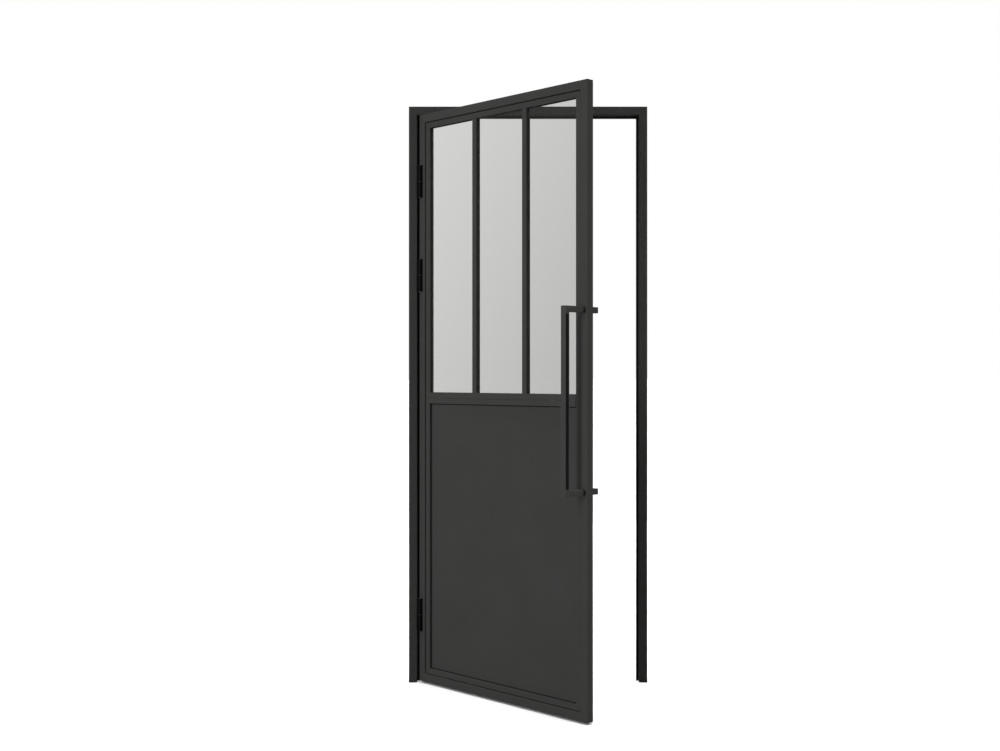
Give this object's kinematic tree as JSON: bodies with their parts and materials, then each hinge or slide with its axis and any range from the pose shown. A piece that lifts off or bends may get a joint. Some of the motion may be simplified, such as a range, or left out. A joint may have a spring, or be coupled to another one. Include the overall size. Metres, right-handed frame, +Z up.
{
  "type": "glass door",
  "caption": "Hinged door with its frame: black metal leaf with upright glass panes above a solid panel, and a long square pull handle.",
  "frame": {"origin": "middle of the hinge jamb's foot, on the floor", "axes": "+X along the frame from the hinge jamb to the lock jamb, -Y out of the front face that the leaf opens to, +Z up"},
  "size_m": [0.89, 0.6849, 2.15],
  "materials": {
    "frame_powder_coat": "matte",
    "leaf_powder_coat": "matte",
    "panel_sheet": "matte",
    "handle_powder_coat": "matte",
    "hinge_steel": "satin",
    "black_screws": "satin",
    "clear_glass": "polished",
    "black_rubber": "matte",
    "foam_tape": "matte",
    "bright_steel": "satin",
    "bearing_nylon": "satin",
    "black_nylon": "matte",
    "cast_alloy": "matte",
    "magnet_plating": "satin"
  },
  "bodies": {
    "frame": {"hinge_jamb": "frame_powder_coat", "lock_jamb": "frame_powder_coat", "head_frame": "frame_powder_coat", "hinge_side_cleat": "cast_alloy", "lock_side_cleat": "cast_alloy", "hinge_jamb_seal": "black_rubber", "lock_jamb_seal": "black_rubber", "head_seal": "black_rubber", "strike_plate": "black_screws", "strike_screws": "black_screws", "upper_hinge_frame_half": "hinge_steel", "middle_hinge_frame_half": "hinge_steel", "lower_hinge_frame_half": "hinge_steel", "upper_hinge_pin": "bright_steel", "middle_hinge_pin": "bright_steel", "lower_hinge_pin": "bright_steel", "upper_hinge_washer": "bearing_nylon", "middle_hinge_washer": "bearing_nylon", "lower_hinge_washer": "bearing_nylon", "hinge_frame_screws": "black_screws"},
    "leaf": {"upper_hinge_leaf_half": "hinge_steel", "middle_hinge_leaf_half": "hinge_steel", "lower_hinge_leaf_half": "hinge_steel", "hinge_leaf_screws": "black_screws", "hinge_stile": "leaf_powder_coat", "lock_stile": "leaf_powder_coat", "top_rail": "leaf_powder_coat", "bottom_rail": "leaf_powder_coat", "upper_mid_rail": "leaf_powder_coat", "lower_mid_rail": "leaf_powder_coat", "left_mullion": "leaf_powder_coat", "right_mullion": "leaf_powder_coat", "top_hinge_cleat": "cast_alloy", "top_lock_cleat": "cast_alloy", "foot_hinge_cleat": "cast_alloy", "foot_lock_cleat": "cast_alloy", "left_pane": "clear_glass", "centre_pane": "clear_glass", "right_pane": "clear_glass", "left_gaskets": "black_rubber", "centre_gaskets": "black_rubber", "right_gaskets": "black_rubber", "left_beads": "leaf_powder_coat", "centre_beads": "leaf_powder_coat", "right_beads": "leaf_powder_coat", "lower_panel": "panel_sheet", "panel_tape": "foam_tape", "panel_beads": "leaf_powder_coat", "pull_handle": "handle_powder_coat", "upper_rear_post": "handle_powder_coat", "lower_rear_post": "handle_powder_coat", "handle_bolts": "bright_steel", "handle_sleeves": "bright_steel", "post_caps": "black_nylon", "catch_housing": "black_nylon", "catch_magnet": "magnet_plating"}
  },
  "joints": [
    {"name": "leaf_swing", "type": "hinge", "parent": "frame", "child": "leaf", "pos_m": [0.027, -0.0259, 1.062], "axis": [0, 0, -1], "range_deg": [-44.5, 60.5]}
  ]
}
